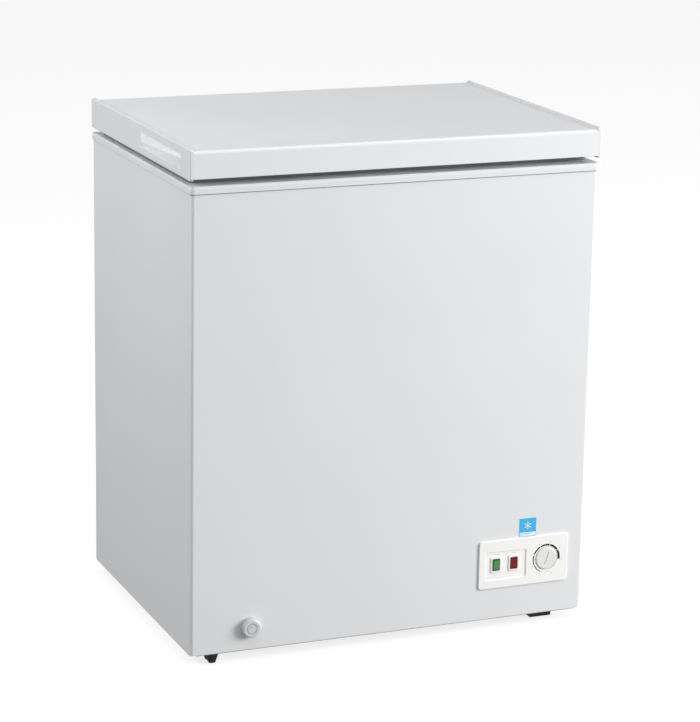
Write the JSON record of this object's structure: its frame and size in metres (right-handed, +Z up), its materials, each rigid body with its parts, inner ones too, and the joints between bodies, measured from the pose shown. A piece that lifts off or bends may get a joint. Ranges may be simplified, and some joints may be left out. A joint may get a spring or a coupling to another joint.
{
  "type": "chest freezer",
  "caption": "White top-opening chest freezer: insulated cabinet with a stepped tub, hinged lid with hand holds, control dial, drain dial, basket, rollers and feet.",
  "frame": {"origin": "on the floor under the middle of the cabinet", "axes": "+X to the right seen from the front, +Y to the back, +Z up; the front faces -Y"},
  "size_m": [0.71, 0.538, 0.85],
  "materials": {
    "white_sheet": "satin paint on steel sheet",
    "lid_sheet": "satin paint on steel sheet",
    "galvanised_sheet": "spangled zinc, satin",
    "liner": "stucco embossed sheet, satin white",
    "aluminium_tube": "mill finish",
    "steel_tube": "coated steel tube",
    "foam": "closed-cell foam",
    "frame_plastic": "moulded, semi-gloss",
    "cap_plastic": "moulded, semi-gloss",
    "gasket_rubber": "soft vinyl, matte grey",
    "zinc_steel": "zinc plated",
    "spring_steel": "oiled",
    "cover_plastic": "fine moulded grain",
    "panel_plastic": "cream white, semi-gloss",
    "green_lens": "translucent green",
    "red_lens": "translucent red",
    "knob_plastic": "moulded, semi-gloss",
    "dial_plastic": "moulded, semi-gloss",
    "switch_plastic": "phenolic",
    "blue_label": "printed film",
    "black_steel": "black stove enamel",
    "black_rubber": "matte",
    "black_plastic": "moulded black",
    "copper_tube": "copper, dulled",
    "basket_wire": "vinyl-coated wire"
  },
  "bodies": {
    "cabinet": {"front_panel": "white_sheet", "left_side_panel": "white_sheet", "right_side_panel": "white_sheet", "back_panel": "galvanised_sheet", "bottom_plate": "galvanised_sheet", "bay_lining": "galvanised_sheet", "inner_liner": "liner", "evaporator_coil": "aluminium_tube", "condenser_coil": "steel_tube", "foam_insulation": "foam", "top_frame": "frame_plastic", "hinge_bracket_left": "zinc_steel", "hinge_bracket_right": "zinc_steel", "hinge_pins": "zinc_steel", "hinge_springs": "spring_steel", "hinge_covers": "cover_plastic", "bracket_screws": "zinc_steel", "control_panel": "panel_plastic", "lamp_bezels": "panel_plastic", "green_lamp_lens": "green_lens", "red_lamp_lens": "red_lens", "thermostat_switch": "switch_plastic", "energy_label": "blue_label", "drain_sleeve": "cover_plastic", "compressor_shell": "black_steel", "compressor_plinth": "galvanised_sheet", "compressor_grommets": "black_rubber", "compressor_bolts": "zinc_steel", "relay_cover": "black_plastic", "discharge_line": "copper_tube", "suction_line": "copper_tube", "process_tube": "copper_tube", "filter_drier": "copper_tube", "capillary_tube": "copper_tube", "wiring_harness": "black_plastic", "rear_cover": "galvanised_sheet", "cover_screws": "zinc_steel", "cord_gland": "black_plastic", "side_grille": "cover_plastic", "right_feet": "black_plastic", "roller_brackets": "black_steel", "roller_axles": "black_steel"},
    "lid": {"lid_skin": "lid_sheet", "lid_end_cap_left": "cap_plastic", "lid_end_cap_right": "cap_plastic", "lid_inner_panel": "frame_plastic", "lid_foam": "foam", "lid_gasket": "gasket_rubber", "hinge_arm_left": "zinc_steel", "hinge_arm_right": "zinc_steel", "arm_screws": "zinc_steel"},
    "temperature_knob": {"thermostat_knob": "knob_plastic", "thermostat_shaft": "zinc_steel"},
    "spout": {"drain_spout": "cover_plastic"},
    "dial": {"drain_dial": "dial_plastic"},
    "stopper": {"tub_stopper": "gasket_rubber"},
    "basket": {"storage_basket": "basket_wire"},
    "front_roller": {"front_roller_wheel": "black_plastic"},
    "rear_roller": {"rear_roller_wheel": "black_plastic"}
  },
  "joints": [
    {"name": "lid_hinge", "type": "hinge", "parent": "cabinet", "child": "lid", "pos_m": [0, 0.2645, 0.8001], "axis": [-1, 0, 0], "range_deg": [0, 85]},
    {"name": "temperature_turn", "type": "hinge", "parent": "cabinet", "child": "temperature_knob", "pos_m": [0.2827, -0.256, 0.117], "axis": [0, 1, 0], "range_deg": [-219.5, 80.5]},
    {"name": "spout_pull", "type": "slide", "parent": "cabinet", "child": "spout", "axis": [0, -1, 0], "range_m": [0, 0.018]},
    {"name": "dial_turn", "type": "hinge", "parent": "spout", "child": "dial", "pos_m": [-0.2493, -0.256, 0.059], "axis": [0, 1, 0], "range_deg": [0, 180]},
    {"name": "stopper_lift", "type": "slide", "parent": "cabinet", "child": "stopper", "axis": [0, 0, 1], "range_m": [0, 0.04]},
    {"name": "basket_slide", "type": "slide", "parent": "cabinet", "child": "basket", "axis": [1, 0, 0], "range_m": [-0.328, 0]},
    {"name": "front_roller_spin", "type": "hinge", "parent": "cabinet", "child": "front_roller", "pos_m": [-0.311, -0.237, 0.0065], "axis": [0, 1, 0], "continuous": true},
    {"name": "rear_roller_spin", "type": "hinge", "parent": "cabinet", "child": "rear_roller", "pos_m": [-0.311, 0.237, 0.0065], "axis": [0, 1, 0], "continuous": true}
  ]
}
